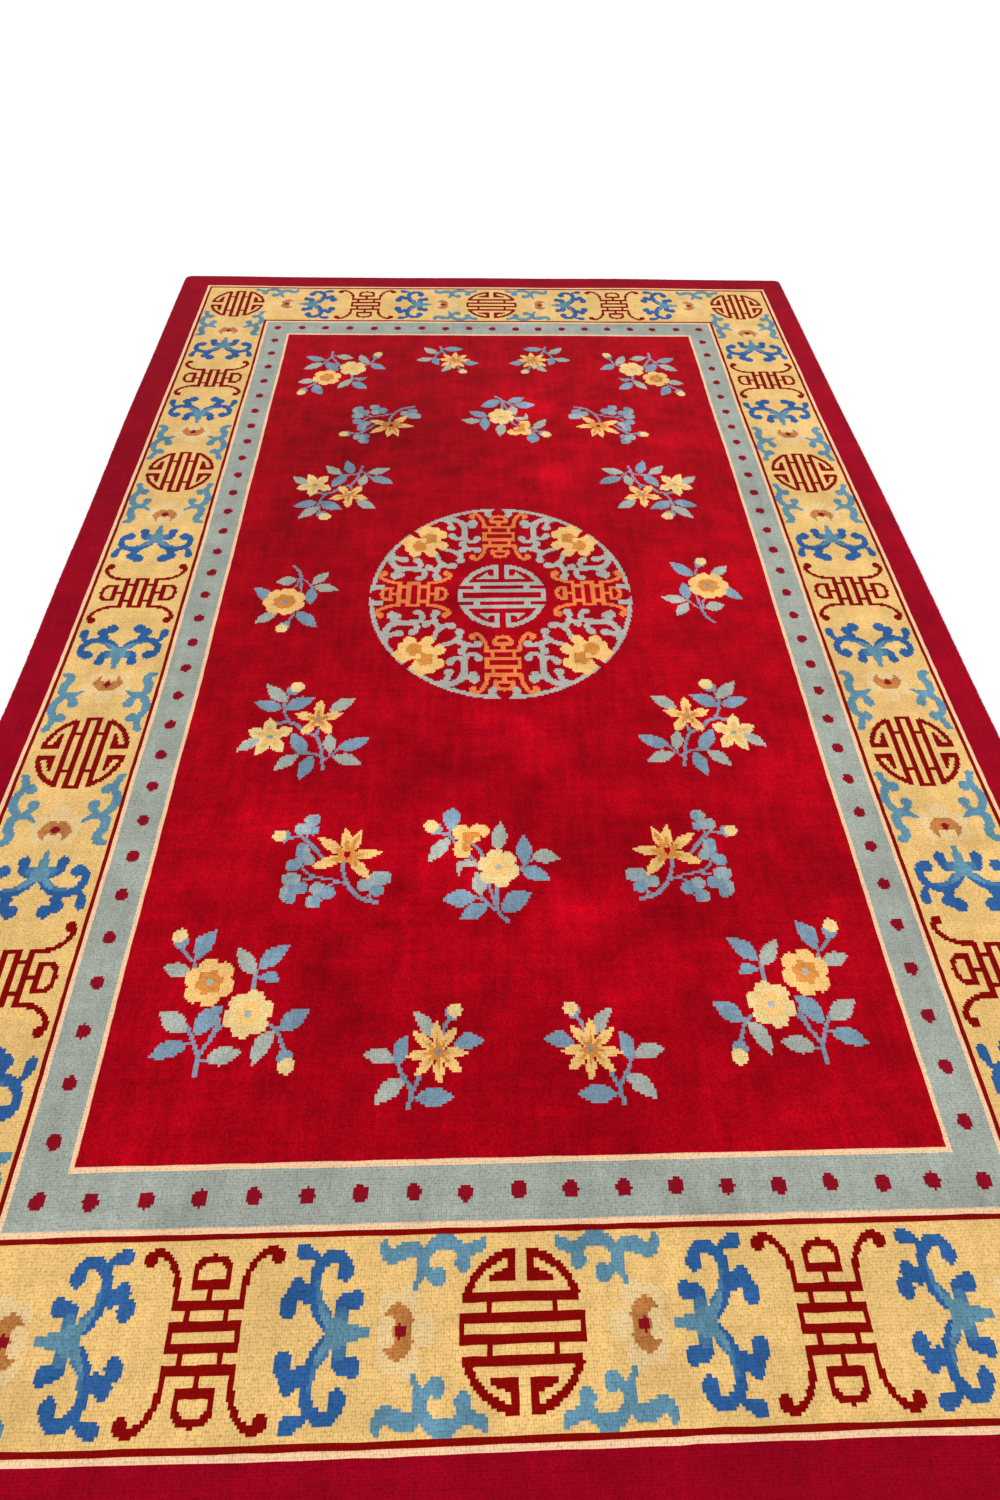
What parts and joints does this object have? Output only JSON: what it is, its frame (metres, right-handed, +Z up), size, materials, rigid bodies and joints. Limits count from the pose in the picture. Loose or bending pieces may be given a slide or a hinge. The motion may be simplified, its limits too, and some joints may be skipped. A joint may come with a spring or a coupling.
{
  "type": "tibetan rug",
  "caption": "Flat hand-knotted wool pile rug with a round fretwork medallion, scattered flower sprays and a scroll and fret border; it lies flat on a floor.",
  "frame": {"origin": "middle of the rug's box, on the floor that it lies on", "axes": "+X across the rug, +Y along its length towards the far end, +Z up out of the pile"},
  "size_m": [1.852, 2.734, 0.0127],
  "materials": {
    "wool_pile_red": "crimson hand-knotted wool pile, cut and clipped, with lighter and darker patches where the pile leans",
    "wool_pile_pattern": "cream, tan, orange and blue wool pile of the border, medallion and flower sprays",
    "cotton_back": "knot backs on a cotton foundation, flat, with the pattern showing through in rows"
  },
  "bodies": {
    "root": {"rug": "wool_pile_red"}
  },
  "joints": []
}
